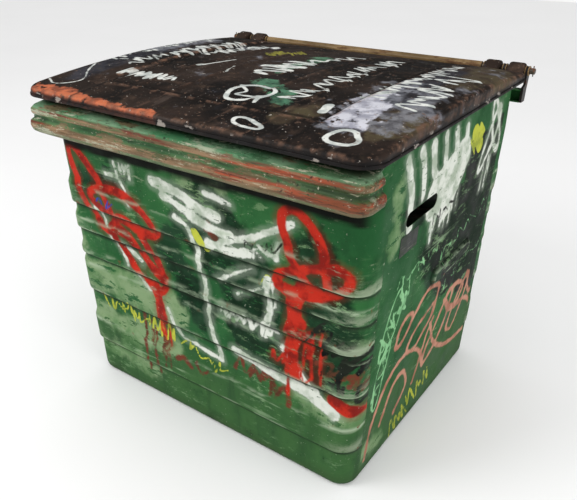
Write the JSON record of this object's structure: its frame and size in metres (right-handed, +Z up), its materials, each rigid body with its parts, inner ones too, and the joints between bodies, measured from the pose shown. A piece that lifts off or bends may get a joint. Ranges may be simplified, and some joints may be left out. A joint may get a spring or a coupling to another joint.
{
  "type": "steel waste container",
  "caption": "Large pressed-steel waste container with swaged walls, a comb lifting rail and a hinged low-domed plastic lid.",
  "frame": {"origin": "centre of the base, on the ground, at the underside of the middle floor beam", "axes": "+X to the right along the front, +Y towards the hinge at the rear, +Z up"},
  "size_m": [1.268, 1.127, 1.138],
  "materials": {
    "tub_paint": "aged gloss green paint, scuffed",
    "rail_paint": "green paint worn through to rust along the ridges",
    "frame_steel": "satin green paint",
    "black_steel": "satin black paint",
    "rusty_tube": "rusted, weathered tube",
    "rod_steel": "weathered zinc plating",
    "lid_plastic": "weathered dark grey moulded plastic",
    "bush_plastic": "plain moulded plastic",
    "rubber": "matt black rubber",
    "ring_steel": "dull zinc plating",
    "blank_plate": "blank weathered plate"
  },
  "bodies": {
    "tub": {"front_panel": "tub_paint", "rear_panel": "tub_paint", "side_panel_left": "tub_paint", "side_panel_right": "tub_paint", "floor_pan": "frame_steel", "castor_pads": "frame_steel", "floor_beams": "frame_steel", "rim_frame": "tub_paint", "comb_rail": "rail_paint", "rail_end_plates": "rail_paint", "rail_gussets": "frame_steel", "rear_rail": "tub_paint", "hinge_ears": "black_steel", "hinge_rod": "rod_steel", "rod_spacer_tube": "rusty_tube", "hinge_washers": "rusty_tube", "split_pins": "ring_steel", "handhold_cup_right": "tub_paint", "handhold_cup_left": "tub_paint", "blank_label": "blank_plate", "drain_ring": "tub_paint"},
    "lid": {"lid_shell": "lid_plastic", "knuckle_bushes": "bush_plastic", "lid_buffers": "rubber"},
    "bung": {"drain_bung": "rubber"},
    "ring": {"pull_ring": "ring_steel"}
  },
  "joints": [
    {"name": "lid_hinge", "type": "hinge", "parent": "tub", "child": "lid", "pos_m": [0, 0.526, 1.1], "axis": [-1, 0, 0], "range_deg": [0, 240]},
    {"name": "drain_bung_pull", "type": "slide", "parent": "tub", "child": "bung", "axis": [0, 0.9997, -0.0242], "range_m": [0, 0.06]},
    {"name": "pull_ring_swing", "type": "hinge", "parent": "bung", "child": "ring", "pos_m": [0, 0.49108, 0.10654], "axis": [1, 0, 0], "range_deg": [0, 90]}
  ]
}
